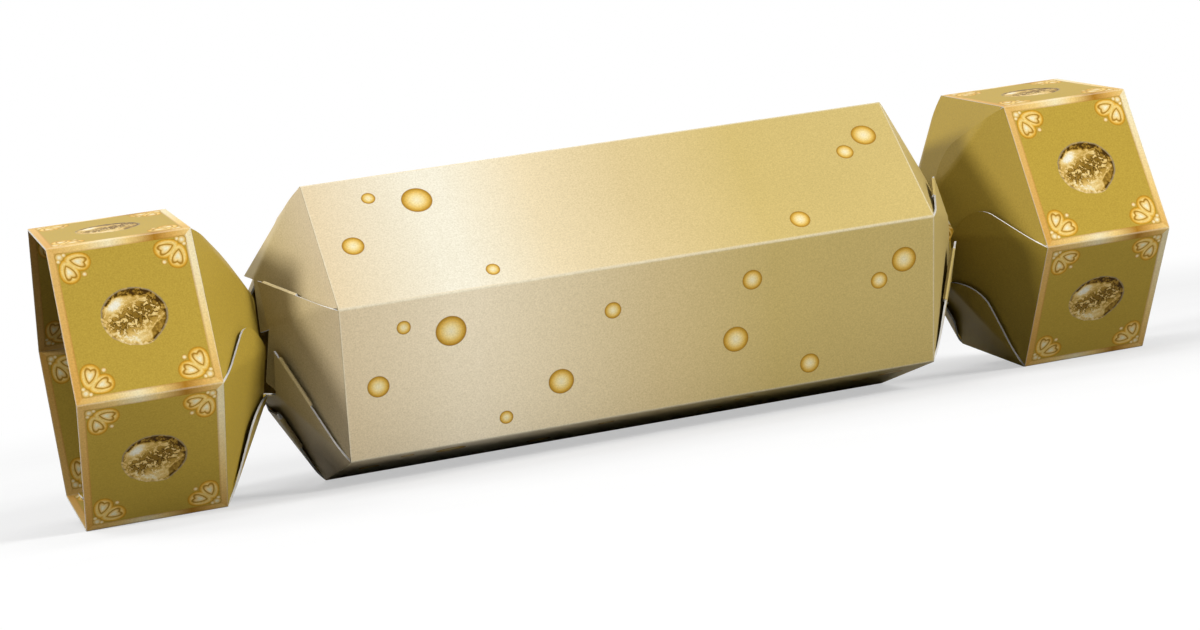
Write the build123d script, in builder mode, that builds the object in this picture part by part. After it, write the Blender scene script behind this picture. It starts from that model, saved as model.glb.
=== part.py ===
from build123d import *
import os
from math import acos, cos, degrees, radians, sin, sqrt, tan

os.makedirs("parts", exist_ok=True)

# A cracker-shaped gift carton, lying on a table.
# +X runs along the cracker, -Y is the front, +Z is up; the origin is on the table under its middle.
# All sizes are in millimetres, all angles in degrees.

# The six-sided tube and the board that it is folded from
side = 40.0
board = 0.5
body_length = 154.0
cap_length = 34.6

# The pinched necks: slope of the flaps against the long axis, distance of the neck crease
# from the long axis, and how far each end cap is turned against the body
neck_slope = 57.0
neck_reach = 12.0
twist = 18.0

# Gaps that let the creases fold and the flaps slide over each other
crease_gap = 0.1
neck_gap = 0.45
lap_gap = 0.25
lobe_gap = 0.2

# Lobes of the flaps: where their straight edge ends, the angle at which they stand off the next flap
# that they are bent down over, and the turned-under hem on the lobes of the body
body_lobe_reach = 33.0
cap_lobe_reach = 19.0
lobe_stand = 7.6
hem_setback = 2.0
hem_length = 14.0
hem_width = 2.2

# Glue tabs of the long seam
tab_width = 9.0
tab_setback = 3.0
tab_gap = 0.6

# Foil-wrapped truffles lying in the groove at the bottom of the body
truffle_count = 5
truffle_radius = 12.7
row_end_gap = 2.0
foil_thickness = 0.3
foil_gap = 0.2
foil_mouth = 24.0
groove_gap = 0.3

# Sizes that follow from these
apothem = side * sqrt(3) / 2
half_twist = radians(twist / 2)
slope = radians(neck_slope)
taper_length = (apothem - neck_reach * cos(half_twist)) / tan(slope)
flap_reach = taper_length / cos(slope)
crease_shift = neck_reach * sin(half_twist)
crease_lean = tan(half_twist) / sin(slope)
hip_rate = sin(slope) / sqrt(3)
hip_angle = acos(cos(slope) ** 2 / 2 + sin(slope) ** 2)
tuck = (board + lap_gap) / sin(hip_angle) * sqrt(1 + hip_rate**2)
lobe_edge = side / 2 - lobe_gap
bend_start = side / 2 + tuck
bend_end = (bend_start - lobe_edge) / hip_rate
lobe_bend = degrees(hip_angle) - lobe_stand
hem_middle = body_lobe_reach - hem_setback - hem_length / 2
mitre = board * tan(radians(30))
axis_height = side * sin(radians(60 + twist / 2))
body_end = body_length / 2
cap_start = body_end + 2 * taper_length
truffle_pitch = (body_length - 2 * row_end_gap) / truffle_count
core_radius = truffle_radius - foil_thickness - foil_gap

# The six panels in turn, going round from the top over the front, and where each one faces,
# counted from the front upwards
places = ["top", "upper_front", "lower_front", "bottom", "lower_back", "upper_back"]
facing = {place: 90 - 60 * index for index, place in enumerate(places)}
body_roll = twist / 2
cap_roll = -twist / 2


def outward(angle):
    return Vector(0, -cos(radians(angle)), sin(radians(angle)))


def around(angle):
    return Vector(0, sin(radians(angle)), cos(radians(angle)))


def on_axis(x):
    return Vector(x, 0, axis_height)


# One wall of the tube: a flat strip of board with mitred long edges
def wall(name, angle, x_from, x_to):
    start = Plane(origin=on_axis(x_from), x_dir=around(angle), z_dir=(1, 0, 0))
    with BuildPart() as panel:
        with BuildSketch(start):
            with BuildLine():
                Polyline(
                    (-side / 2, apothem),
                    (side / 2, apothem),
                    (side / 2 - mitre, apothem - board),
                    (-side / 2 + mitre, apothem - board),
                    close=True,
                )
            make_face()
        extrude(amount=x_to - x_from)
    panel.part.label = name
    export_step(panel.part, f"parts/{name}.step")


# The glue tab of the seam: it lies on the inside of the bottom wall, along its rear edge
def seam_tab(name, angle, x_from, x_to):
    start = Plane(origin=on_axis(x_from), x_dir=around(angle), z_dir=(1, 0, 0))
    outer_edge = -side / 2 + 2 * mitre + tab_gap
    inner_face = apothem - board
    with BuildPart() as tab:
        with BuildSketch(start):
            with BuildLine():
                Polyline(
                    (outer_edge, inner_face),
                    (outer_edge + tab_width, inner_face),
                    (outer_edge + tab_width, inner_face - board),
                    (outer_edge + board, inner_face - board),
                    close=True,
                )
            make_face()
        extrude(amount=x_to - x_from)
    tab.part.label = name
    export_step(tab.part, f"parts/{name}.step")


# The plane of a neck flap: its origin is the middle of the crease at the wall, its x runs down the
# slope to the neck and its z faces out; hand tells which way its y runs around the cracker
def flap_plane(angle, x_edge, towards):
    out = outward(angle)
    down = Vector(towards * cos(slope), 0, 0) - out * sin(slope)
    face = Vector(towards * sin(slope), 0, 0) + out * cos(slope)
    return Plane(origin=on_axis(x_edge) + out * apothem, x_dir=down, z_dir=face)


# Distance down the slope at which a flap ends, at a place v along its neck edge
def neck_edge(v, lean):
    return flap_reach + lean * crease_lean * (v - lean * crease_shift) - neck_gap


# Corner where the neck edge meets a line that starts at v_start and runs across at a rate
def neck_corner(v_start, rate, lean):
    u = (neck_edge(0, lean) + lean * crease_lean * v_start) / (1 - lean * crease_lean * rate)
    return u, v_start + rate * u


# Outline of the flat part of a flap: one side tucks under the next lobe, the other ends at its own bend
def panel_outline(lean, hand):
    tucked_u, tucked_v = neck_corner(-side / 2 + tuck, hip_rate, lean)
    bend_u, bend_v = neck_corner(bend_start, -hip_rate, lean)
    return [
        (0, hand * (tuck - side / 2)),
        (tucked_u, hand * tucked_v),
        (bend_u, hand * bend_v),
        (bend_end, hand * lobe_edge),
        (0, hand * lobe_edge),
    ]


# The plane of a lobe: the plane of its flap, turned down about the bend beside the hip of the two flaps
def lobe_plane(plane, hand):
    on_bend = plane.origin + plane.y_dir * (hand * bend_start)
    bend = Axis(on_bend, plane.x_dir - plane.y_dir * (hand * hip_rate))
    turn = -hand * lobe_bend
    return Plane(
        origin=on_bend + (plane.origin - on_bend).rotate(bend, turn),
        x_dir=plane.x_dir.rotate(bend, turn),
        z_dir=plane.z_dir.rotate(bend, turn),
    )


# A flap of the body: a long straight lobe, with the middle of its edge turned under
def body_flap(name, angle, towards):
    plane = flap_plane(angle, towards * body_end, towards)
    hand = towards
    bent = lobe_plane(plane, hand)
    bend_u, bend_v = neck_corner(bend_start, -hip_rate, -1)
    with BuildPart() as flap:
        with BuildSketch(plane):
            with BuildLine():
                Polyline(*panel_outline(-1, hand), close=True)
            make_face()
        extrude(amount=-board)
        with BuildSketch(bent):
            with BuildLine():
                Polyline(
                    (bend_end, hand * lobe_edge),
                    (bend_u, hand * bend_v),
                    (body_lobe_reach, hand * lobe_edge),
                    close=True,
                )
            make_face()
        extrude(amount=-board)
        with BuildSketch(bent.offset(-board)):
            with Locations((hem_middle, hand * (lobe_edge - hem_width / 2))):
                Rectangle(hem_length, hem_width)
        extrude(amount=-board)
        split(
            bisect_by=Plane(origin=(towards * (body_end + crease_gap), 0, 0), z_dir=(towards, 0, 0)),
            keep=Keep.TOP,
        )
    flap.part.label = name
    export_step(flap.part, f"parts/{name}.step")


# A flap of an end cap: its lobe has a rounded outline
def cap_flap(name, angle, towards):
    plane = flap_plane(angle, towards * cap_start, -towards)
    hand = -towards
    bend_u, bend_v = neck_corner(bend_start, -hip_rate, 1)
    with BuildPart() as flap:
        with BuildSketch(plane):
            with BuildLine():
                Polyline(*panel_outline(1, hand), close=True)
            make_face()
        extrude(amount=-board)
        with BuildSketch(lobe_plane(plane, hand)):
            with BuildLine():
                Polyline(
                    (bend_u, hand * bend_v),
                    (bend_end, hand * lobe_edge),
                    (cap_lobe_reach, hand * lobe_edge),
                )
                EllipticalCenterArc(
                    (cap_lobe_reach, hand * bend_v),
                    x_radius=bend_u - cap_lobe_reach,
                    y_radius=lobe_edge - bend_v,
                    arc_size=hand * 90,
                )
            make_face()
        extrude(amount=-board)
        split(
            bisect_by=Plane(origin=(towards * (cap_start - crease_gap), 0, 0), z_dir=(-towards, 0, 0)),
            keep=Keep.TOP,
        )
    flap.part.label = name
    export_step(flap.part, f"parts/{name}.step")


# The chocolate ball of a truffle
def truffle_core(name, centre):
    with BuildPart() as core:
        with BuildSketch(Plane(origin=centre, x_dir=(1, 0, 0), z_dir=(0, -1, 0))):
            with BuildLine():
                CenterArc((0, 0), core_radius, -90, 180)
                Line((0, core_radius), (0, -core_radius))
            make_face()
        revolve(axis=Axis(centre, (0, 0, 1)))
    core.part.label = name
    export_step(core.part, f"parts/{name}.step")


# The foil around it, gathered to a small mouth underneath
def truffle_foil(name, centre):
    inside = truffle_radius - foil_thickness
    low = -90 + foil_mouth
    with BuildPart() as foil:
        with BuildSketch(Plane(origin=centre, x_dir=(1, 0, 0), z_dir=(0, -1, 0))):
            with BuildLine():
                CenterArc((0, 0), truffle_radius, low, 90 - low)
                Line((0, truffle_radius), (0, inside))
                CenterArc((0, 0), inside, low, 90 - low)
                Line(
                    (inside * cos(radians(low)), inside * sin(radians(low))),
                    (truffle_radius * cos(radians(low)), truffle_radius * sin(radians(low))),
                )
            make_face()
        revolve(axis=Axis(centre, (0, 0, 1)))
    foil.part.label = name
    export_step(foil.part, f"parts/{name}.step")


for place, angle in facing.items():
    wall(f"body_{place}", angle + body_roll, -body_end, body_end)
seam_tab("body_seam_tab", facing["bottom"] + body_roll, tab_setback - body_end, body_end - tab_setback)

for end, towards in (("left", -1), ("right", 1)):
    x_from = towards * cap_start - (cap_length if towards < 0 else 0)
    x_to = x_from + cap_length
    for place, angle in facing.items():
        body_flap(f"{end}_body_flap_{place}", angle + body_roll, towards)
        cap_flap(f"{end}_cap_flap_{place}", angle + cap_roll, towards)
        wall(f"{end}_cap_{place}", angle + cap_roll, x_from, x_to)
    tab_angle = facing["bottom"] + cap_roll
    seam_tab(f"{end}_cap_seam_tab", tab_angle, x_from + tab_setback, x_to - tab_setback)

groove = facing["bottom"] - 30 + body_roll
groove_depth = (apothem - board - groove_gap - truffle_radius) / cos(radians(30))
for number in range(truffle_count):
    shift = (number - (truffle_count - 1) / 2) * truffle_pitch
    middle = on_axis(shift) + outward(groove) * groove_depth
    truffle_core(f"truffle_{number + 1}_core", middle)
    truffle_foil(f"truffle_{number + 1}_foil", middle)
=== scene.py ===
from math import acos, atan, cos, radians, sin, sqrt, tan

import bmesh
import bpy
from mathutils import Matrix, Vector


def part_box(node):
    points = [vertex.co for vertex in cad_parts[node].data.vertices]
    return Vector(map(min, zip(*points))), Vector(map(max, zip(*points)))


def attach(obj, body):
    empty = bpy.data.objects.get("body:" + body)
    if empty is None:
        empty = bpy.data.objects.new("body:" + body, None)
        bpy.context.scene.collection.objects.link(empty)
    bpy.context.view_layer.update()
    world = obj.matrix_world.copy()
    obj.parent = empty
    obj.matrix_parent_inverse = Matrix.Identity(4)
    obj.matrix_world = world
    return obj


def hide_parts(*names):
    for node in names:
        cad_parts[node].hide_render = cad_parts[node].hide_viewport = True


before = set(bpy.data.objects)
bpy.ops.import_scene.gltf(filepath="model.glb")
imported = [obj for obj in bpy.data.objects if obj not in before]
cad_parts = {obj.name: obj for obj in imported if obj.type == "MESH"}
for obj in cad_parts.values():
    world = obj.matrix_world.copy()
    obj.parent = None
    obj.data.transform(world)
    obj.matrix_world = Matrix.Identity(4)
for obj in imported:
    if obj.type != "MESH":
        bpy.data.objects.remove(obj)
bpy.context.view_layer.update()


# Body walls
# The body is one sheet of thin board, scored and folded into a six-sided tube.
# It is printed in satin gold that fades to pale gold near the left end, with gold bubbles.
# Its folds are paler, partly from worn ink and partly as a painted highlight. On all walls but
# the upper front the pale gold is warmer: painted shade, the warm tint of the walls in shade.
mm = 0.001
side = 40 * mm
board = 0.5 * mm
fold_round = 0.45 * mm
apothem = side * sqrt(3) / 2
half_twist = radians(9)
axis_height = side * sin(radians(60) + half_twist)
axis = Vector((0, 0, axis_height))
body_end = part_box("body_top")[1].x
places = ["top", "upper_front", "lower_front", "bottom", "lower_back", "upper_back"]
wall_sharpness = radians(30)
gold = (0.71, 0.55, 0.205, 1)
left_gold = (0.85, 0.70, 0.46, 1)
pale_gold = (0.96, 0.91, 0.76, 1)
# Warmer pale gold for the walls other than the upper front: painted shade, the warm tint of the walls in
# shade.
shade_warmed_pale_gold = (1.0, 0.88, 0.66, 1)
# Pale ink along the folds: partly wear, partly a painted highlight on the rounded folds.
worn_and_lit_fold = (0.93, 0.87, 0.70, 1)
bare_core = (0.90, 0.88, 0.82, 1)
body_metal = 0.12
board_gloss = 0.1
bounce_loss = 0.8

# Bubbles as (along, across, radius), in millimetres from the middle of a wall
end_bubbles = [
    (-61.5, 12.9, 1.75),
    (-49.9, 10.1, 3.85),
    (-68.8, -1.3, 2.75),
    (-37.4, -15.0, 1.75),
    (68.7, 9.6, 3.3),
    (61.9, 5.0, 2.25),
    (42.7, -14.4, 2.6),
]
middle_bubbles = [(-8.8, 8.6, 2.15), (-22.9, -7.9, 3.25), (27.8, 10.7, 2.6), (23.0, -4.5, 3.35)]


def only(piece):
    """Selects one piece alone and makes it active."""
    bpy.ops.object.select_all(action="DESELECT")
    piece.select_set(True)
    bpy.context.view_layer.objects.active = piece


def settle(piece, place=None):
    """Moves a piece to its place and leaves its object at the origin, unturned."""
    only(piece)
    if place is not None:
        piece.matrix_world = place
    bpy.ops.object.transform_apply(location=True, rotation=True, scale=True)


def apply_modifiers(piece):
    only(piece)
    for modifier in list(piece.modifiers):
        bpy.ops.object.modifier_apply(modifier=modifier.name)


def pick(piece, kind, test):
    """Selects the vertices, edges or faces of a piece in edit mode that pass a test."""
    bpy.ops.mesh.select_all(action="DESELECT")
    bpy.ops.mesh.select_mode(type={"verts": "VERT", "edges": "EDGE", "faces": "FACE"}[kind])
    mesh = bmesh.from_edit_mesh(piece.data)
    for element in getattr(mesh, kind):
        element.select_set(test(element))
    mesh.select_flush_mode()
    bmesh.update_edit_mesh(piece.data)


def give_thickness(piece, coats):
    """Makes a sheet into board; the coats go outside, inside and on the cut edge, as many on each."""
    for coat in coats:
        piece.data.materials.append(coat)
    on_each = len(coats) // 3
    wall = piece.modifiers.new("board", "SOLIDIFY")
    wall.thickness = board
    wall.offset = -1
    wall.use_even_offset = True
    wall.material_offset = on_each
    wall.material_offset_rim = 2 * on_each
    apply_modifiers(piece)


def node(tree, kind, inputs=None, **settings):
    """A new node; its inputs are sockets to link or plain values."""
    made = tree.nodes.new(kind)
    for name, value in settings.items():
        setattr(made, name, value)
    for socket, value in (inputs or {}).items():
        if isinstance(value, bpy.types.NodeSocket):
            tree.links.new(value, made.inputs[socket])
        else:
            made.inputs[socket].default_value = value
    return made


def figure(tree, operation, first, second=0.0):
    return node(tree, "ShaderNodeMath", {0: first, 1: second}, operation=operation).outputs[0]


def mixed(tree, share, below, above, blend="MIX"):
    made = node(tree, "ShaderNodeMix", {0: share, 6: below, 7: above}, data_type="RGBA")
    made.blend_type = blend
    return made.outputs[2]


def ramp(tree, value, stops):
    """Colours along a value from 0 to 1; stops are (place, colour)."""
    made = node(tree, "ShaderNodeValToRGB", {0: value})
    points = made.color_ramp.elements
    while len(points) < len(stops):
        points.new(1.0)
    for point, (place, colour) in zip(points, stops):
        point.position = place
        point.color = colour
    return made.outputs[0]


def ranged(tree, value, low, high, to_low=0.0, to_high=1.0):
    """Maps a value evenly from one range to another."""
    inputs = {0: value, 1: low, 2: high, 3: to_low, 4: to_high}
    return node(tree, "ShaderNodeMapRange", inputs).outputs[0]


def between(tree, value, low, high):
    """0 below low, 1 above high, smooth in between; low may be the larger one."""
    inputs = {0: value, 1: low, 2: high, 3: 0.0, 4: 1.0}
    return node(tree, "ShaderNodeMapRange", inputs, interpolation_type="SMOOTHSTEP").outputs[0]


def noise(tree, spot, scale, detail=2.0, rough=0.5):
    """Cloudy noise: output 0 is a value, output 1 a colour."""
    inputs = {"Vector": spot, "Scale": scale, "Detail": detail, "Roughness": rough}
    return node(tree, "ShaderNodeTexNoise", inputs).outputs


def distance(tree, spot, place):
    made = node(tree, "ShaderNodeVectorMath", {0: spot, 1: place}, operation="DISTANCE")
    return made.outputs["Value"]


def new_group(name, inputs, outputs):
    """A new node group with its named sockets, and its input and output nodes."""
    group = bpy.data.node_groups.new(name, "ShaderNodeTree")
    for kind, sockets in (("INPUT", inputs), ("OUTPUT", outputs)):
        for socket, shape in sockets:
            group.interface.new_socket(name=socket, in_out=kind, socket_type="NodeSocket" + shape)
    return group, node(group, "NodeGroupInput"), node(group, "NodeGroupOutput")


def use_group(tree, group, inputs):
    return node(tree, "ShaderNodeGroup", inputs, node_tree=group)


def board_grain():
    """Fine grain of metallic ink on board: it varies colour and roughness and stands out a little."""
    group, given, put = new_group(
        "board_grain",
        [("Ink", "Color")],
        [("Color", "Color"), ("Roughness", "Float"), ("Height", "Float")],
    )
    spot = node(group, "ShaderNodeTexCoord").outputs["Object"]
    fine = noise(group, spot, 2600.0)[0]
    wide = noise(group, spot, 22.0)[0]
    speck = ramp(group, fine, [(0.25, (0.80, 0.78, 0.72, 1)), (0.75, (1.0, 1.0, 1.0, 1))])
    cloud = ramp(group, wide, [(0.3, (0.95, 0.95, 0.94, 1)), (0.7, (1.0, 1.0, 1.0, 1))])
    ink = mixed(group, 1.0, given.outputs["Ink"], speck, "MULTIPLY")
    group.links.new(mixed(group, 1.0, ink, cloud, "MULTIPLY"), put.inputs["Color"])
    group.links.new(ranged(group, fine, 0.2, 0.8, 0.42, 0.56), put.inputs["Roughness"])
    group.links.new(fine, put.inputs["Height"])
    return group


grain = board_grain()


def finish_board(material, ink, metal):
    """Puts ink, a socket or a colour, on grained board that throws little light on its neighbours."""
    tree = material.node_tree
    shader = tree.nodes["Principled BSDF"]
    shade = use_group(tree, grain, {"Ink": ink})
    bump = node(tree, "ShaderNodeBump", {"Strength": 0.12, "Distance": 0.05 * mm})
    tree.links.new(shade.outputs["Height"], bump.inputs["Height"])
    bounced = node(tree, "ShaderNodeLightPath").outputs["Is Diffuse Ray"]
    dimmed = figure(tree, "MULTIPLY", bounced, bounce_loss)
    colour = mixed(tree, dimmed, shade.outputs["Color"], (0, 0, 0, 1))
    tree.links.new(colour, shader.inputs["Base Color"])
    tree.links.new(shade.outputs["Roughness"], shader.inputs["Roughness"])
    tree.links.new(bump.outputs["Normal"], shader.inputs["Normal"])
    shader.inputs["Metallic"].default_value = metal
    shader.inputs["Specular IOR Level"].default_value = board_gloss


def new_material(name):
    material = bpy.data.materials.new(name)
    material.use_nodes = True
    return material


def plain_gold_board():
    material = new_material("plain_gold_board")
    finish_board(material, gold, body_metal)
    return material


def cut_edge():
    """The white paper core that shows where the board is cut."""
    material = new_material("white_cut_edge")
    tree = material.node_tree
    spot = node(tree, "ShaderNodeTexCoord").outputs["Object"]
    fibre = noise(tree, spot, 900.0, 3.0)[0]
    paper = ramp(tree, fibre, [(0.3, (0.80, 0.77, 0.70, 1)), (0.7, bare_core)])
    shader = tree.nodes["Principled BSDF"]
    tree.links.new(paper, shader.inputs["Base Color"])
    shader.inputs["Roughness"].default_value = 0.85
    return material


def bubble_print(name, bubbles, pale):
    """Satin gold with printed bubbles and pale folds; UV is millimetres along and across a wall."""
    material = new_material(name)
    tree = material.node_tree
    spot = node(tree, "ShaderNodeUVMap", uv_map="print").outputs[0]
    parts = node(tree, "ShaderNodeSeparateXYZ", {0: spot})
    along, across = parts.outputs[0], parts.outputs[1]
    half_body = body_end / mm
    half_wall = side / 2 / mm
    far_away = 9.0
    share = far_away
    for x, y, radius in bubbles:
        gap = distance(tree, spot, (x, y, 0))
        share = figure(tree, "MINIMUM", share, figure(tree, "DIVIDE", gap, radius))
    bubble = ramp(
        tree,
        share,
        [
            (0.0, (1.0, 0.90, 0.62, 1)),
            (0.40, (0.98, 0.80, 0.38, 1)),
            (0.70, (0.86, 0.56, 0.12, 1)),
            (0.90, (0.56, 0.30, 0.03, 1)),
            (1.0, (0.36, 0.19, 0.02, 1)),
        ],
    )
    # Paler ink along the folds and the ends of the walls: partly wear, partly a painted highlight.
    long_wear_and_highlight = between(tree, figure(tree, "ABSOLUTE", across), half_wall - 0.7, half_wall - 0.1)
    end_wear_and_highlight = between(tree, figure(tree, "ABSOLUTE", along), half_body - 0.5, half_body)
    wear_and_highlight = figure(tree, "MULTIPLY", figure(tree, "MAXIMUM", long_wear_and_highlight, end_wear_and_highlight), 0.55)
    fade = ramp(
        tree,
        ranged(tree, along, -half_body, half_body),
        [
            (0.0, left_gold),
            (0.18, pale),
            (0.22, pale),
            (0.36, (0.91, 0.77, 0.51, 1)),
            (0.52, (0.80, 0.64, 0.34, 1)),
            (0.72, gold),
        ],
    )
    ink = mixed(tree, wear_and_highlight, fade, worn_and_lit_fold)
    ink = mixed(tree, between(tree, share, 1.03, 0.98), ink, bubble)
    finish_board(material, ink, body_metal)
    return material


def wall_direction(index, roll):
    """Which way a wall faces: the walls follow each other from the top over the front."""
    turn = radians(60) * index + roll
    return Vector((0, -sin(turn), cos(turn)))


def face_direction(point, roll):
    """The wall that a point on the tube belongs to, as the way that the wall faces."""
    ways = [wall_direction(index, roll) for index in range(len(places))]
    return max(ways, key=lambda way: way.dot(point - axis))


def folded_tube(name, x_from, x_to, roll):
    """A six-sided tube as a thin skin, with rounded folds and a UV in millimetres on every wall."""
    bpy.ops.object.select_all(action="DESELECT")
    bpy.ops.mesh.primitive_cylinder_add(
        vertices=6, radius=side, depth=x_to - x_from, end_fill_type="NOTHING"
    )
    tube = bpy.context.object
    tube.name = tube.data.name = name
    middle = axis + Vector(((x_from + x_to) / 2, 0, 0))
    turn = Matrix.Rotation(roll, 4, "X") @ Matrix.Rotation(radians(90), 4, "Y")
    settle(tube, Matrix.Translation(middle) @ turn)
    bpy.ops.object.mode_set(mode="EDIT")
    pick(tube, "edges", lambda edge: abs(edge.verts[0].co.x - edge.verts[1].co.x) > board)
    bpy.ops.mesh.bevel(offset=fold_round, segments=3, affect="EDGES")
    bpy.ops.object.mode_set(mode="OBJECT")
    print_map = tube.data.uv_layers.active or tube.data.uv_layers.new()
    print_map.name = "print"
    for face in tube.data.polygons:
        out = face_direction(face.center, roll)
        around = Vector((0, out.z, -out.y))
        for corner in face.loop_indices:
            point = tube.data.vertices[tube.data.loops[corner].vertex_index].co - middle
            print_map.data[corner].uv = (point.x / mm, point.dot(around) / mm)
    return tube


def finish_tube(tube, coats):
    """Gives a tube its board and keeps its walls flat between the rounded folds."""
    give_thickness(tube, coats)
    bpy.ops.object.shade_smooth_by_angle(angle=wall_sharpness)
    tube.modifiers.new("flat_walls", "WEIGHTED_NORMAL").keep_sharp = True
    apply_modifiers(tube)


white_edge = cut_edge()
plain_gold = plain_gold_board()
# The walls other than the upper front get the warmer pale gold, which is painted shade of the lower walls.
bubble_wall = bubble_print("bubble_print_all_over", end_bubbles + middle_bubbles, shade_warmed_pale_gold)
front_wall = bubble_print("bubble_print_at_the_ends", end_bubbles, pale_gold)

body = folded_tube("body_tube", -body_end, body_end, -half_twist)
front = wall_direction(places.index("upper_front"), -half_twist)
for face in body.data.polygons:
    face.material_index = 1 if face.normal.dot(front) > 0.99 else 0
finish_tube(body, [bubble_wall, front_wall, plain_gold, plain_gold, plain_gold, plain_gold])
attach(body, "body")
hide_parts(*["body_" + place for place in places])


# Seam tab of the body
# A narrow strip at the edge of the sheet, bent in and glued to the inside of the bottom wall.
# It is plain board, and the truffles keep it pressed flat.
tab_width = 9 * mm
tab_gap = 0.6 * mm


def seam_tab(name, place_node, roll, coat, lift):
    """A glue strip on the bottom wall, with its free edge sprung off the wall by a lift."""
    low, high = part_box(place_node)
    out = wall_direction(places.index("bottom"), roll)
    around = Vector((0, out.z, -out.y))
    across = -side / 2 + 2 * board * tan(radians(30)) + tab_gap + tab_width / 2
    bpy.ops.object.select_all(action="DESELECT")
    bpy.ops.mesh.primitive_grid_add(x_subdivisions=12, y_subdivisions=8, size=1)
    tab = bpy.context.object
    tab.name = tab.data.name = name
    tab.scale = (high.x - low.x, tab_width, 1)
    settle(tab)
    bpy.ops.object.mode_set(mode="EDIT")
    pick(tab, "verts", lambda vert: vert.co.y > tab_width / 2 - 0.1 * mm)
    bpy.ops.transform.translate(
        value=(0, 0, lift),
        use_proportional_edit=True,
        proportional_edit_falloff="SMOOTH",
        proportional_size=tab_width * 0.8,
    )
    bpy.ops.object.mode_set(mode="OBJECT")
    middle = axis + out * (apothem - 2 * board) + around * across
    middle.x = (low.x + high.x) / 2
    turn = Matrix((Vector((-1, 0, 0)), around, -out)).transposed().to_4x4()
    settle(tab, Matrix.Translation(middle) @ turn)
    give_thickness(tab, [coat, coat, white_edge])
    bpy.ops.object.shade_smooth_by_angle(angle=wall_sharpness)
    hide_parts(place_node)
    return tab


body_tab = seam_tab("body_glue_tab", "body_seam_tab", -half_twist, plain_gold, 0.0)
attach(body_tab, "body")


# Neck flaps of the body
# Each wall goes on as a flap that is creased down towards the neck. One side tucks under the lobe
# of the next flap. The lobe is bent down over its neighbour; its edge is cut white near the wall,
# and further on a hem is turned under.
ends = (("left", -1), ("right", 1))
neck_slope = radians(57)
neck_reach = 12 * mm
neck_gap = 0.45 * mm
crease_gap = 0.05 * mm
lap_gap = 0.25 * mm
lobe_gap = 0.2 * mm
lobe_stand = radians(7.6)
taper = (apothem - neck_reach * cos(half_twist)) / tan(neck_slope)
flap_reach = taper / cos(neck_slope)
crease_shift = neck_reach * sin(half_twist)
crease_lean = tan(half_twist) / sin(neck_slope)
hip_rate = sin(neck_slope) / sqrt(3)
hip_angle = acos(cos(neck_slope) ** 2 / 2 + sin(neck_slope) ** 2)
tuck = (board + lap_gap) / sin(hip_angle) * sqrt(1 + hip_rate**2)
lobe_edge = side / 2 - lobe_gap
bend_start = side / 2 + tuck
bend_end = (bend_start - lobe_edge) / hip_rate
corner_reach = 3.3 * mm
lobe_bend = hip_angle - lobe_stand
bend_lines = [-0.6 * mm, 0.0, 0.7 * mm, 1.4 * mm]
body_lobe_reach = 33 * mm
hem_start = 17 * mm
hem_end = 31 * mm
hem_width = 2.2 * mm
hem_lip = 0.52 * mm
hem_gap = 0.08 * mm
hair = 0.01 * mm
flap_sharpness = radians(35)


def neck_edge(across, lean):
    """How far down the slope a flap ends, at a place across it."""
    return flap_reach + lean * crease_lean * (across - lean * crease_shift) - neck_gap


def neck_corner(start, rate, lean):
    """Where the neck edge meets a line that starts at the wall and runs across at a rate."""
    reach = (neck_edge(0, lean) + lean * crease_lean * start) / (1 - lean * crease_lean * rate)
    return reach, start + rate * reach


def slice_through(place, away, threshold=1e-6, **settings):
    """Cuts all of the piece in edit mode along a plane."""
    bpy.ops.mesh.select_all(action="SELECT")
    bpy.ops.mesh.bisect(plane_co=place, plane_no=away, threshold=threshold, **settings)


def cut_sheet(name, outline, hand):
    """A flat sheet cut to an outline of (down the slope, across) points; hand mirrors it."""
    bpy.ops.object.select_all(action="DESELECT")
    bpy.ops.mesh.primitive_grid_add(x_subdivisions=26, y_subdivisions=26, size=1.3 * side)
    sheet = bpy.context.object
    sheet.name = sheet.data.name = name
    sheet.location.x = side / 4
    settle(sheet)
    corners = [Vector((reach, hand * across, 0)) for reach, across in outline]
    middle = sum(corners, Vector()) / len(corners)
    bpy.ops.object.mode_set(mode="EDIT")
    for start, end in zip(corners, corners[1:] + corners[:1]):
        away = (end - start).cross(Vector((0, 0, 1))).normalized()
        if away.dot(start - middle) < 0:
            away = -away
        slice_through(start, away, clear_outer=True)
    bpy.ops.object.mode_set(mode="OBJECT")
    return sheet


def cut_flap(name, lean, lobe, hand):
    """A flap as a flat sheet: its panel, the lobe beyond the bend, and the corner tucked in at the wall."""
    start = tuck - side / 2
    tucked = neck_corner(start, hip_rate, lean)
    bend = neck_corner(bend_start, -hip_rate, lean)
    tip = (corner_reach, start + hip_rate * corner_reach)
    panel = [(0, start), tucked, bend, (bend_end, lobe_edge), (0, lobe_edge)]
    flap = cut_sheet(name, panel, hand)
    lobe_sheet = cut_sheet("lobe", [(bend_end, lobe_edge), bend] + lobe, hand)
    corner_sheet = cut_sheet("corner", [(0, start), (0, 0.4 * tuck - side / 2), tip], hand)
    only(flap)
    lobe_sheet.select_set(True)
    corner_sheet.select_set(True)
    bpy.ops.object.join()
    bpy.ops.object.mode_set(mode="EDIT")
    slice_through((corner_reach, 0, 0), (1, 0, 0))
    bpy.ops.mesh.select_all(action="SELECT")
    bpy.ops.mesh.remove_doubles(threshold=0.5 * hair)
    bpy.ops.object.mode_set(mode="OBJECT")
    return flap


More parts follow.
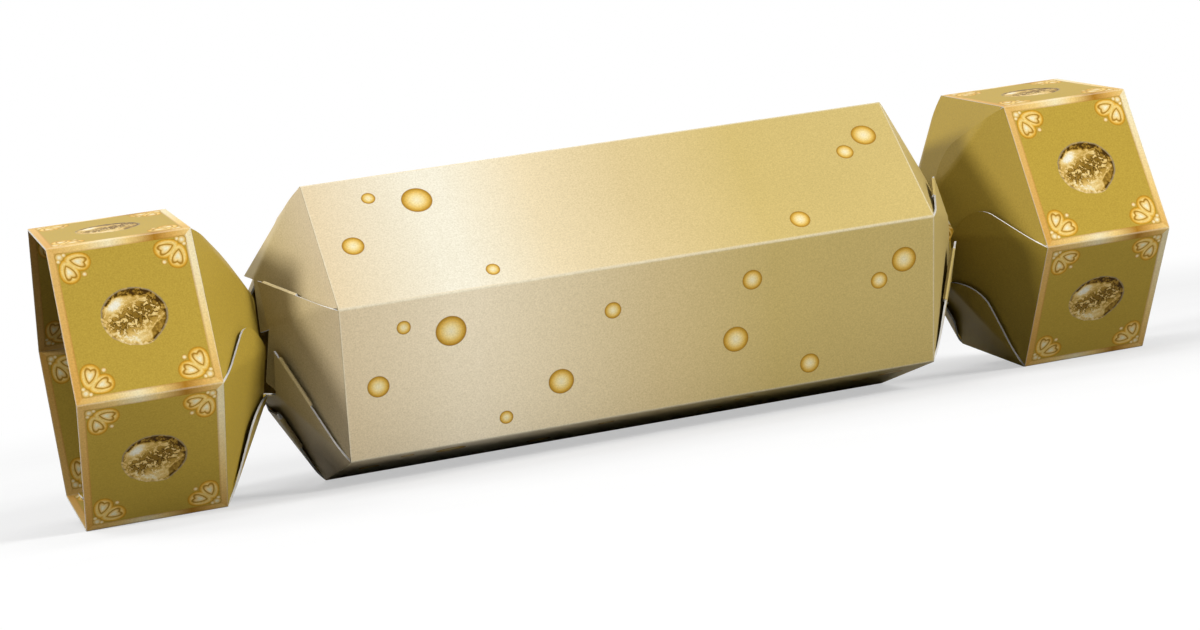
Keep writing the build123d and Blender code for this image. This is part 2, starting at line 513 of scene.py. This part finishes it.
def bend_lobe(flap, hand):
    """Bends the lobe down over the next flap, a little at each of a few lines along the hip."""
    along_hip = Matrix.Rotation(-hand * atan(hip_rate), 4, "Z")
    on_bend = Matrix.Translation((0, hand * bend_start, 0)) @ along_hip
    settle(flap, on_bend.inverted())
    bpy.ops.object.mode_set(mode="EDIT")
    for line in bend_lines:
        slice_through((0, hand * line, 0), (0, 1, 0))
    for line in reversed(bend_lines):
        pick(flap, "verts", lambda vert: hand * vert.co.y > line + hair)
        bpy.ops.transform.rotate(
            value=hand * lobe_bend / len(bend_lines),
            orient_axis="X",
            center_override=(0, hand * line, 0),
        )
    bpy.ops.mesh.select_all(action="SELECT")
    bpy.ops.mesh.remove_doubles(threshold=2 * hair)
    bpy.ops.object.mode_set(mode="OBJECT")
    settle(flap, on_bend)


def face_out(flap):
    """Turns the sheet's faces outwards, so that its printed side is the outer one."""
    only(flap)
    bpy.ops.object.mode_set(mode="EDIT")
    bpy.ops.mesh.select_all(action="SELECT")
    bpy.ops.mesh.normals_make_consistent(inside=False)
    bpy.ops.object.mode_set(mode="OBJECT")
    if sum(face.normal.z * face.area for face in flap.data.polygons) < 0:
        bpy.ops.object.mode_set(mode="EDIT")
        bpy.ops.mesh.flip_normals()
        bpy.ops.object.mode_set(mode="OBJECT")


def place_on_slope(flap, x_edge, towards, roll):
    """Sets a flap against the edge of the top wall, sloping towards one end."""
    out = wall_direction(places.index("top"), roll)
    down = Vector((towards * cos(neck_slope), 0, 0)) - out * sin(neck_slope)
    face = Vector((towards * sin(neck_slope), 0, 0)) + out * cos(neck_slope)
    turn = Matrix((down, face.cross(down), face)).transposed().to_4x4()
    settle(flap, Matrix.Translation(axis + out * apothem + Vector((x_edge, 0, 0))) @ turn)


def mitre_at_wall(flap):
    """Cuts the flap's thickness upright where it meets its wall."""
    bpy.ops.object.mode_set(mode="EDIT")
    slice_through(
        (crease_gap / cos(neck_slope), 0, 0),
        (-cos(neck_slope), 0, -sin(neck_slope)),
        threshold=1e-7,
        clear_outer=True,
        use_fill=True,
    )
    bpy.ops.object.mode_set(mode="OBJECT")


def turned_copy(piece, name, index):
    """A copy of a piece of the top wall, turned round the long axis to another wall."""
    only(piece)
    bpy.ops.object.duplicate(linked=False)
    copy = bpy.context.object
    copy.name = copy.data.name = name
    turn = Matrix.Rotation(radians(60) * index, 4, "X")
    settle(copy, Matrix.Translation(axis) @ turn @ Matrix.Translation(-axis))
    return copy


def turn_hem_under(flap, hand):
    """Folds a strip along the lobe's edge under the lobe."""

    def on_hem(edge):
        first, second = (vert.co for vert in edge.verts)
        at_edge = min(hand * first.y, hand * second.y) > lobe_edge - hair
        low, high = sorted((first.x, second.x))
        return at_edge and low > hem_start - hair and high < hem_end + hair

    only(flap)
    bpy.ops.object.mode_set(mode="EDIT")
    for reach in (hem_start, hem_end):
        slice_through((reach, 0, 0), (1, 0, 0))
    pick(flap, "edges", on_hem)
    for across, down in ((hem_lip, -board), (-hem_lip, -board - hem_gap), (-hem_width, 0)):
        step = {"value": (0, hand * across, down)}
        bpy.ops.mesh.extrude_edges_move(TRANSFORM_OT_translate=step)
    bpy.ops.object.mode_set(mode="OBJECT")


def fading_gold_board():
    """The print of the left flaps: from the colour of the body's left end to plain gold at the neck."""
    material = new_material("fading_gold_board")
    tree = material.node_tree
    spot = node(tree, "ShaderNodeTexCoord").outputs["Object"]
    along = node(tree, "ShaderNodeSeparateXYZ", {0: spot}).outputs[0]
    from_neck = ranged(tree, along, -body_end - taper, -body_end)
    finish_board(material, ramp(tree, from_neck, [(0.0, gold), (1.0, left_gold)]), body_metal)
    return material


def body_flap(towards):
    """The flap at the top wall of one end, which the other five are copied from."""
    outside = fading_gold_board() if towards < 0 else plain_gold
    flap = cut_flap("body_flap_pattern", -1, [(body_lobe_reach, lobe_edge)], towards)
    turn_hem_under(flap, towards)
    face_out(flap)
    bend_lobe(flap, towards)
    give_thickness(flap, [outside, plain_gold, white_edge])
    mitre_at_wall(flap)
    bpy.ops.object.shade_smooth_by_angle(angle=flap_sharpness)
    place_on_slope(flap, towards * body_end, towards, -half_twist)
    return flap


for end, towards in ends:
    pattern = body_flap(towards)
    for index, place in enumerate(places):
        name = f"{end}_body_flap_{place}"
        flap = turned_copy(pattern, f"folded_{name}", index)
        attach(flap, name)
        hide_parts(name)
    bpy.data.objects.remove(pattern)


# End caps
# A cap is a short six-sided tube of the same board, turned against the body and open at its end.
# Both sides are printed: olive gold, bright border strips, corner ornaments and a foil medallion.
# The sizes of the print are in millimetres.
cap_low, cap_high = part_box("right_cap_top")
cap_start = cap_low.x
cap_end = cap_high.x
half_length = (cap_end - cap_start) / 2 / mm
half_width = side / 2 / mm
strip = 1.9
strip_line = 0.55
medallion_half = (8.0, 7.3)
petal_place = (4.7, 2.4)
petal_length = 3.3
petal_width = 2.6
petal_lean = radians(17)
olive = (0.57, 0.395, 0.06, 1)
amber = (0.47, 0.22, 0.02, 1)
tan_gold = (0.82, 0.49, 0.13, 1)
bright = (0.96, 0.69, 0.26, 1)
cream = (1.0, 0.87, 0.55, 1)
cap_metal = 0.06


def olive_board():
    material = new_material("plain_olive_board")
    finish_board(material, olive, cap_metal)
    return material


def blob(tree, spot, centre, radius):
    """A soft spot: 1 in its middle, 0 at its radius."""
    return between(tree, distance(tree, spot, (*centre, 0)), radius, 0.0)


def weighted(tree, base, parts):
    """A base value plus each part times its weight."""
    total = base
    for part, weight in parts:
        total = figure(tree, "ADD", total, figure(tree, "MULTIPLY", part, weight))
    return total


def medallion_foil():
    """The picture of a ball in gold foil, as mask and colour: it reaches from -1 to 1 each way."""
    group, given, put = new_group(
        "medallion_foil",
        [("Spot", "Vector")],
        [("Mask", "Float"), ("Color", "Color")],
    )
    scale = (1 / medallion_half[0], 1 / medallion_half[1], 0.0)
    scaled = node(group, "ShaderNodeVectorMath", {0: given.outputs[0], 1: scale}, operation="MULTIPLY")
    spot = scaled.outputs[0]
    wobble = noise(group, spot, 2.2)[0]
    reach = node(group, "ShaderNodeVectorMath", {0: spot}, operation="LENGTH").outputs["Value"]
    reach = weighted(group, reach, [(blob(group, spot, (0.28, -1.0), 0.5), -0.08), (wobble, 0.10)])
    group.links.new(between(group, reach, 1.05, 1.03), put.inputs["Mask"])

    # Crumples, strongest in a slanting band across the middle
    bend = {0: noise(group, spot, 3.0)["Color"], 1: (0.35, 0.35, 0.0), 2: spot}
    bent = node(group, "ShaderNodeVectorMath", bend, operation="MULTIPLY_ADD").outputs[0]
    creases = noise(group, bent, 6.5, 6.0, 0.62)[0]
    ridge = figure(group, "ABSOLUTE", figure(group, "SUBTRACT", creases, 0.5))
    lines = between(group, ridge, 0.042, 0.0)
    spread = between(group, creases, 0.60, 0.42)
    glints = between(group, creases, 0.56, 0.64)
    sides = node(group, "ShaderNodeSeparateXYZ", {0: spot})
    right, up = sides.outputs[0], sides.outputs[1]
    tilt = radians(28)
    off_band = weighted(group, 0.06, [(right, -sin(tilt)), (up, cos(tilt))])
    band = between(group, figure(group, "ABSOLUTE", off_band), 0.70, 0.05)
    band = figure(group, "MULTIPLY", band, between(group, reach, 1.0, 0.72))

    # A dark crescent at the top, a flat facet at the lower right and a creased rim
    from_low = distance(group, spot, (-0.08, -0.30, 0))
    crescent = between(group, weighted(group, from_low, [(wobble, 0.35)]), 1.13, 1.25)
    slant = between(group, weighted(group, right, [(up, -1.0), (wobble, 0.3)]), 1.10, 1.16)
    facet = figure(group, "MINIMUM", slant, between(group, right, 0.38, 0.44))
    rim = between(group, reach, 0.86, 1.03)
    tone = weighted(
        group,
        0.70,
        [
            (blob(group, spot, (-0.60, 0.36), 0.28), 0.40),
            (blob(group, spot, (-0.42, 0.54), 0.30), 0.34),
            (blob(group, spot, (-0.25, -0.82), 0.72), 0.26),
            (crescent, -0.34),
            (figure(group, "MULTIPLY", crescent, spread), -0.26),
            (facet, -0.30),
            (figure(group, "MULTIPLY", lines, band), -0.62),
            (figure(group, "MULTIPLY", spread, band), -0.32),
            (figure(group, "MULTIPLY", glints, band), 0.10),
            (figure(group, "MULTIPLY", rim, spread), -0.40),
            (spread, -0.12),
        ],
    )
    colour = ramp(
        group,
        tone,
        [
            (0.0, (0.06, 0.028, 0.002, 1)),
            (0.22, (0.20, 0.105, 0.008, 1)),
            (0.42, (0.50, 0.30, 0.05, 1)),
            (0.62, (0.80, 0.54, 0.16, 1)),
            (0.80, (0.96, 0.76, 0.36, 1)),
            (1.0, (1.0, 0.96, 0.80, 1)),
        ],
    )
    outline = figure(group, "MULTIPLY", between(group, reach, 0.97, 1.01), 0.4)
    group.links.new(mixed(group, outline, colour, (0.82, 0.64, 0.34, 1)), put.inputs["Color"])
    return group


def corner_ornament():
    """Two petals with a heart in each, a bud in the corner and a dot; both sides of the corner match."""
    group, given, put = new_group(
        "corner_ornament",
        [("From_end", "Float"), ("From_fold", "Float")],
        [("Mask", "Float"), ("Color", "Color")],
    )
    from_end, from_fold = given.outputs["From_end"], given.outputs["From_fold"]
    far = figure(group, "MAXIMUM", from_end, from_fold)
    near = figure(group, "MINIMUM", from_end, from_fold)
    far_off = figure(group, "SUBTRACT", far, petal_place[0])
    near_off = figure(group, "SUBTRACT", near, petal_place[1])
    straight, sideways = cos(petal_lean), sin(petal_lean)
    along = weighted(
        group, 0.0, [(far_off, straight / petal_length), (near_off, sideways / petal_length)]
    )
    across = weighted(
        group, 0.0, [(near_off, straight / petal_width), (far_off, -sideways / petal_width)]
    )
    slim = figure(group, "DIVIDE", across, weighted(group, 0.90, [(along, 0.24)]))
    wing = figure(group, "ABSOLUTE", across)
    tip = weighted(group, along, [(wing, -0.75)])

    def radius_of(first, second):
        squares = weighted(group, figure(group, "MULTIPLY", first, first), [(second, second)])
        return figure(group, "SQRT", squares)

    def round_spot(at_far, at_near, radius):
        step = node(group, "ShaderNodeCombineXYZ", {0: far, 1: near}).outputs[0]
        return figure(group, "DIVIDE", distance(group, step, (at_far, at_near, 0)), radius)

    petal = radius_of(along, slim)
    heart = radius_of(tip, wing)
    bud = figure(group, "MINIMUM", round_spot(0.8, 0.8, 1.1), round_spot(1.9, 0.4, 0.65))
    spots = figure(group, "MINIMUM", bud, round_spot(5.9, 5.9, 0.7))
    ring = ramp(
        group,
        petal,
        [
            (0.45, (0.86, 0.54, 0.11, 1)),
            (0.66, (1.0, 0.76, 0.28, 1)),
            (0.82, (0.90, 0.54, 0.09, 1)),
            (0.93, (0.66, 0.33, 0.02, 1)),
            (1.0, (0.50, 0.25, 0.02, 1)),
        ],
    )
    inner = ramp(
        group,
        heart,
        [
            (0.08, (1.0, 0.93, 0.64, 1)),
            (0.34, (0.98, 0.70, 0.24, 1)),
            (0.45, (0.46, 0.23, 0.02, 1)),
            (0.49, (0.46, 0.23, 0.02, 1)),
            (0.58, (0.86, 0.54, 0.11, 1)),
        ],
    )
    dot = ramp(
        group,
        spots,
        [(0.2, (1.0, 0.90, 0.60, 1)), (0.65, (0.86, 0.58, 0.17, 1)), (1.0, (0.46, 0.25, 0.03, 1))],
    )
    colour = mixed(group, between(group, heart, 0.60, 0.54), ring, inner)
    spot_mask = between(group, spots, 1.06, 0.94)
    colour = mixed(group, spot_mask, colour, dot)
    petal_mask = between(group, petal, 1.06, 0.95)
    group.links.new(figure(group, "MAXIMUM", petal_mask, spot_mask), put.inputs["Mask"])
    group.links.new(colour, put.inputs["Color"])
    return group


def cap_print():
    """Olive gold with strips along the edges, corner ornaments and a medallion; UV in millimetres."""
    material = new_material("olive_gold_cap_print")
    tree = material.node_tree
    spot = node(tree, "ShaderNodeUVMap", uv_map="print").outputs[0]
    parts = node(tree, "ShaderNodeSeparateXYZ", {0: spot})
    along, across = parts.outputs[0], parts.outputs[1]
    from_end = figure(tree, "SUBTRACT", half_length, figure(tree, "ABSOLUTE", along))
    from_fold = figure(tree, "SUBTRACT", half_width, figure(tree, "ABSOLUTE", across))
    fold_strip = ramp(
        tree,
        ranged(tree, along, -half_length, half_length),
        [
            (0.0, tan_gold),
            (0.25, bright),
            (0.42, cream),
            (0.56, bright),
            (0.74, amber),
            (0.88, tan_gold),
            (1.0, bright),
        ],
    )
    upwards = ranged(tree, across, -half_width, half_width)
    left_strip = ramp(tree, upwards, [(0.0, (0.76, 0.42, 0.09, 1)), (1.0, (0.88, 0.56, 0.18, 1))])
    right_strip = ramp(tree, upwards, [(0.0, tan_gold), (0.3, bright), (0.8, cream)])
    end_strip = mixed(tree, figure(tree, "GREATER_THAN", along, 0.0), left_strip, right_strip)
    on_fold = figure(tree, "LESS_THAN", from_fold, from_end)
    strips = mixed(tree, on_fold, end_strip, fold_strip)
    rim = figure(tree, "MINIMUM", from_end, from_fold)
    inner_line = figure(tree, "MULTIPLY", between(tree, rim, strip - strip_line, strip), 0.55)
    strips = mixed(tree, inner_line, strips, amber)
    ink = mixed(tree, between(tree, rim, strip + 0.08, strip - 0.08), olive, strips)
    # Paler ink along the edges and folds of the cap: partly wear, partly a painted highlight.
    wear_and_highlight = figure(tree, "MULTIPLY", between(tree, rim, 0.40, 0.05), 0.30)
    ink = mixed(tree, wear_and_highlight, ink, worn_and_lit_fold)
    corner = {
        "From_end": weighted(tree, from_end, [(strip, -1.0)]),
        "From_fold": weighted(tree, from_fold, [(strip, -1.0)]),
    }
    ornament = use_group(tree, corner_ornament(), corner).outputs
    ink = mixed(tree, ornament["Mask"], ink, ornament["Color"])
    foil = use_group(tree, medallion_foil(), {"Spot": spot}).outputs
    ink = mixed(tree, foil["Mask"], ink, foil["Color"])
    finish_board(material, ink, cap_metal)
    return material


plain_olive = olive_board()
cap_wall = cap_print()
for end, towards in ends:
    x_from, x_to = sorted((towards * cap_start, towards * cap_end))
    cap = folded_tube(f"{end}_cap_tube", x_from, x_to, half_twist)
    finish_tube(cap, [cap_wall, cap_wall, white_edge])
    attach(cap, f"{end}_cap")
    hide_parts(*[f"{end}_cap_{place}" for place in places])


# Seam tabs of the caps
# The same glue strip closes each cap. It is seen through the open end, where its free edge
# springs a little off the bottom wall.
tab_spring = 0.7 * mm
for end, towards in ends:
    tab = seam_tab(f"{end}_cap_glue_tab", f"{end}_cap_seam_tab", half_twist, plain_olive, tab_spring)
    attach(tab, f"{end}_cap")


# Neck flaps of the caps
# They meet the flaps of the body at the neck. Each lobe has a round outline and is bent down
# over the next flap, with its white cut edge showing.
cap_lobe_reach = 19 * mm
lobe_steps = 10


def cap_flap(towards):
    """The flap at the top wall of one cap, which the other five are copied from."""
    bend_reach, bend_across = neck_corner(bend_start, -hip_rate, 1)
    lobe = []
    for step in range(1, lobe_steps + 1):
        turn = radians(90) * step / lobe_steps
        reach = cap_lobe_reach + (bend_reach - cap_lobe_reach) * cos(turn)
        lobe.append((reach, bend_across + (lobe_edge - bend_across) * sin(turn)))
    flap = cut_flap("cap_flap_pattern", 1, lobe, -towards)
    face_out(flap)
    bend_lobe(flap, -towards)
    give_thickness(flap, [plain_olive, plain_olive, white_edge])
    mitre_at_wall(flap)
    bpy.ops.object.shade_smooth_by_angle(angle=flap_sharpness)
    place_on_slope(flap, towards * cap_start, -towards, half_twist)
    return flap


for end, towards in ends:
    pattern = cap_flap(towards)
    for index, place in enumerate(places):
        name = f"{end}_cap_flap_{place}"
        flap = turned_copy(pattern, f"folded_{name}", index)
        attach(flap, name)
        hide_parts(name)
    bpy.data.objects.remove(pattern)


# Truffles
# Balls of chocolate, each wrapped in a square of gold foil that is pressed round it
# and gathered underneath. They lie loose in the groove at the bottom of the body.
truffle_count = 5
foil_radius = 12.6 * mm
flat_reach = 12.35 * mm
foil_sharpness = radians(40)
turn_of_each = radians(67)


def chocolate():
    material = new_material("dark_chocolate")
    tree = material.node_tree
    spot = node(tree, "ShaderNodeTexCoord").outputs["Object"]
    cloud = noise(tree, spot, 160.0, 3.0)[0]
    tone = ramp(tree, cloud, [(0.3, (0.030, 0.012, 0.005, 1)), (0.7, (0.055, 0.024, 0.010, 1))])
    shader = tree.nodes["Principled BSDF"]
    tree.links.new(tone, shader.inputs["Base Color"])
    shader.inputs["Roughness"].default_value = 0.45
    return material


def gold_foil():
    """Thin metal foil with fine creases and small flat facets."""
    material = new_material("crumpled_gold_foil")
    tree = material.node_tree
    shader = tree.nodes["Principled BSDF"]
    spot = node(tree, "ShaderNodeTexCoord").outputs["Object"]
    crease = noise(tree, spot, 420.0, 4.0)[0]
    facets = node(tree, "ShaderNodeTexVoronoi", {"Vector": spot, "Scale": 330.0}).outputs["Distance"]
    tone = ramp(tree, crease, [(0.3, (0.80, 0.52, 0.12, 1)), (0.7, (1.0, 0.76, 0.30, 1))])
    tree.links.new(tone, shader.inputs["Base Color"])
    tree.links.new(ranged(tree, crease, 0.3, 0.7, 0.14, 0.30), shader.inputs["Roughness"])
    bump = node(tree, "ShaderNodeBump", {"Strength": 0.35, "Distance": 0.3 * mm})
    tree.links.new(figure(tree, "ADD", crease, facets), bump.inputs["Height"])
    tree.links.new(bump.outputs["Normal"], shader.inputs["Normal"])
    shader.inputs["Metallic"].default_value = 1.0
    return material


def crumple(piece, name, kind, size, strength):
    """Presses folds of a size into a piece."""
    texture = bpy.data.textures.new(name, kind)
    texture.noise_scale = size
    press = piece.modifiers.new(name, "DISPLACE")
    press.texture = texture
    press.texture_coords = "LOCAL"
    press.strength = strength
    press.mid_level = 0.5


def foil_ball():
    bpy.ops.object.select_all(action="DESELECT")
    bpy.ops.mesh.primitive_ico_sphere_add(subdivisions=5, radius=foil_radius)
    ball = bpy.context.object
    crumple(ball, "pressed_folds", "VORONOI", 4.5 * mm, 0.35 * mm)
    crumple(ball, "small_creases", "CLOUDS", 1.6 * mm, 0.25 * mm)
    apply_modifiers(ball)
    ball.data.materials.append(foil_coat)
    bpy.ops.object.shade_smooth_by_angle(angle=foil_sharpness)
    return ball


def press_flat(ball, middle):
    """Flattens the gathered foil under a ball, where it rests on the glue tab."""
    rest = wall_direction(places.index("bottom"), -half_twist)
    bpy.ops.object.mode_set(mode="EDIT")
    slice_through(middle + rest * flat_reach, rest, threshold=1e-7, clear_outer=True, use_fill=True)
    bpy.ops.object.mode_set(mode="OBJECT")


foil_coat = gold_foil()
brown = chocolate()
pattern = foil_ball()
for number in range(1, truffle_count + 1):
    core = f"truffle_{number}_core"
    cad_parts[core].data.materials.clear()
    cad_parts[core].data.materials.append(brown)
    low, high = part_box(core)
    only(pattern)
    bpy.ops.object.duplicate(linked=False)
    ball = bpy.context.object
    ball.name = ball.data.name = f"truffle_{number}_crumpled_foil"
    middle = (low + high) / 2
    settle(ball, Matrix.Translation(middle) @ Matrix.Rotation(turn_of_each * number, 4, "Z"))
    press_flat(ball, middle)
    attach(ball, f"truffle_{number}")
    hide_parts(f"truffle_{number}_foil")
bpy.data.objects.remove(pattern)


# Table and light
# The carton lies on a pale table that runs out into white; only a patch of it, in front of the
# left half, throws much light back. Two soft lamps stand at the front left and right, the right
# one without glare, and weaker ones overhead and behind.
bright_patch = (-0.05, -0.115)
patch_reach = 0.15
dull_bounce = (0.17, 0.17, 0.17, 1)
bright_bounce = (0.97, 0.97, 0.97, 1)
white_from = 0.10
white_at = 0.60
carton_middle = (0, 0, 0.04)


def seen_rays(tree, path):
    """1 for rays that show a surface to the camera, straight or by a mirror or glass."""
    mirrored = figure(tree, "MAXIMUM", path["Is Glossy Ray"], path["Is Transmission Ray"])
    return figure(tree, "MAXIMUM", path["Is Camera Ray"], mirrored)


def pale_table():
    material = new_material("pale_table")
    tree = material.node_tree
    shader = tree.nodes["Principled BSDF"]
    spot = node(tree, "ShaderNodeTexCoord").outputs["Object"]
    fibre = noise(tree, spot, 40.0)[0]
    tone = ramp(tree, fibre, [(0.3, (0.93, 0.93, 0.93, 1)), (0.7, (0.95, 0.95, 0.95, 1))])
    path = node(tree, "ShaderNodeLightPath").outputs
    seen = seen_rays(tree, path)
    bounce = mixed(tree, blob(tree, spot, bright_patch, patch_reach), dull_bounce, bright_bounce)
    tree.links.new(mixed(tree, seen, bounce, tone), shader.inputs["Base Color"])
    shader.inputs["Roughness"].default_value = 0.9
    white = node(tree, "ShaderNodeEmission", {"Strength": 1.0})
    reach = node(tree, "ShaderNodeVectorMath", {0: spot}, operation="LENGTH").outputs["Value"]
    far = figure(tree, "MULTIPLY", between(tree, reach, white_from, white_at), seen)
    share = figure(tree, "MAXIMUM", far, figure(tree, "MULTIPLY", path["Is Camera Ray"], 0.5))
    mix = node(tree, "ShaderNodeMixShader", {0: share, 1: shader.outputs[0], 2: white.outputs[0]})
    tree.links.new(mix.outputs[0], tree.nodes["Material Output"].inputs["Surface"])
    return material


bpy.ops.object.select_all(action="DESELECT")
bpy.ops.mesh.primitive_plane_add(size=8)
table = bpy.context.object
table.name = "table"
table.data.materials.append(pale_table())


def soft_lamp(name, place, size, power, glare=True):
    """A round soft lamp that is aimed at the carton's middle."""
    bpy.ops.object.light_add(type="AREA", location=place)
    lamp = bpy.context.object
    lamp.name = name
    lamp.data.shape = "DISK"
    lamp.data.size = size
    lamp.data.energy = power
    lamp.visible_glossy = glare
    lamp.rotation_euler = (Vector(carton_middle) - Vector(place)).to_track_quat("-Z", "Y").to_euler()


soft_lamp("left_lamp", (-1.07, -0.19, 0.59), size=0.3, power=7.4)
soft_lamp("right_lamp", (0.62, -0.88, 0.57), size=0.5, power=12.2, glare=False)
soft_lamp("overhead_lamp", (0, 0.25, 1.10), size=0.6, power=2.5)
soft_lamp("rear_lamp", (-0.45, 0.75, 0.90), size=0.5, power=3.6)

world = bpy.data.worlds.new("white_room")
bpy.context.scene.world = world
world.use_nodes = True
sky = world.node_tree
seen = seen_rays(sky, node(sky, "ShaderNodeLightPath").outputs)
room = node(sky, "ShaderNodeBackground", {"Color": (1, 1, 1, 1), "Strength": 0.05})
white = node(sky, "ShaderNodeBackground", {"Color": (1, 1, 1, 1), "Strength": 1.0})
both = node(sky, "ShaderNodeMixShader", {0: seen, 1: room.outputs[0], 2: white.outputs[0]})
sky.links.new(both.outputs[0], sky.nodes["World Output"].inputs["Surface"])
bpy.context.scene.view_settings.view_transform = "Standard"


# Camera
# It stands low in front of the left end, as in the photograph, and is tipped to one side.
# Its focal length is given in pixels of the photograph's width.
heading = radians(15.80)
look_down = radians(2.0)
tip = radians(-8.70)
camera_place = (-203.7 * mm, -712.0 * mm, 56.9 * mm)
sensor_width = 36
photo_width = 1200
focal_pixels = 2872
bpy.ops.object.camera_add()
camera = bpy.context.object
camera.name = "photo_camera"
camera.data.sensor_width = sensor_width
camera.data.lens = sensor_width * focal_pixels / photo_width
camera.data.clip_start = 0.01
ahead = Vector((sin(heading) * cos(look_down), cos(heading) * cos(look_down), -sin(look_down)))
level = ahead.cross(Vector((0, 0, 1))).normalized()
rise = level.cross(ahead)
right_way = level * cos(tip) + rise * sin(tip)
up_way = rise * cos(tip) - level * sin(tip)
turn = Matrix((right_way, up_way, -ahead)).transposed().to_4x4()
camera.matrix_world = Matrix.Translation(camera_place) @ turn
bpy.context.scene.camera = camera
